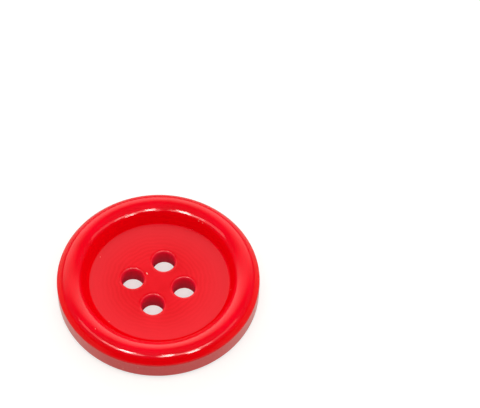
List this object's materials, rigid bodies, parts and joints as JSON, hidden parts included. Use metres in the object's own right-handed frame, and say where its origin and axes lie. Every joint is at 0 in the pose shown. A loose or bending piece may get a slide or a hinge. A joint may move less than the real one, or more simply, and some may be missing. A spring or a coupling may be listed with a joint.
{
  "type": "sewing button",
  "caption": "Round sew-through button in glossy red plastic, with a raised rounded rim, a flat well pierced by thread holes and a gently domed back.",
  "frame": {"origin": "lowest point of the domed back, on the button's axis", "axes": "+Z along the button's axis, out of its face; X and Y along the sides of the square of thread holes"},
  "size_m": [0.02, 0.02, 0.0035],
  "materials": {
    "red_polyester": "polished"
  },
  "bodies": {
    "root": {"button": "red_polyester"}
  },
  "joints": []
}
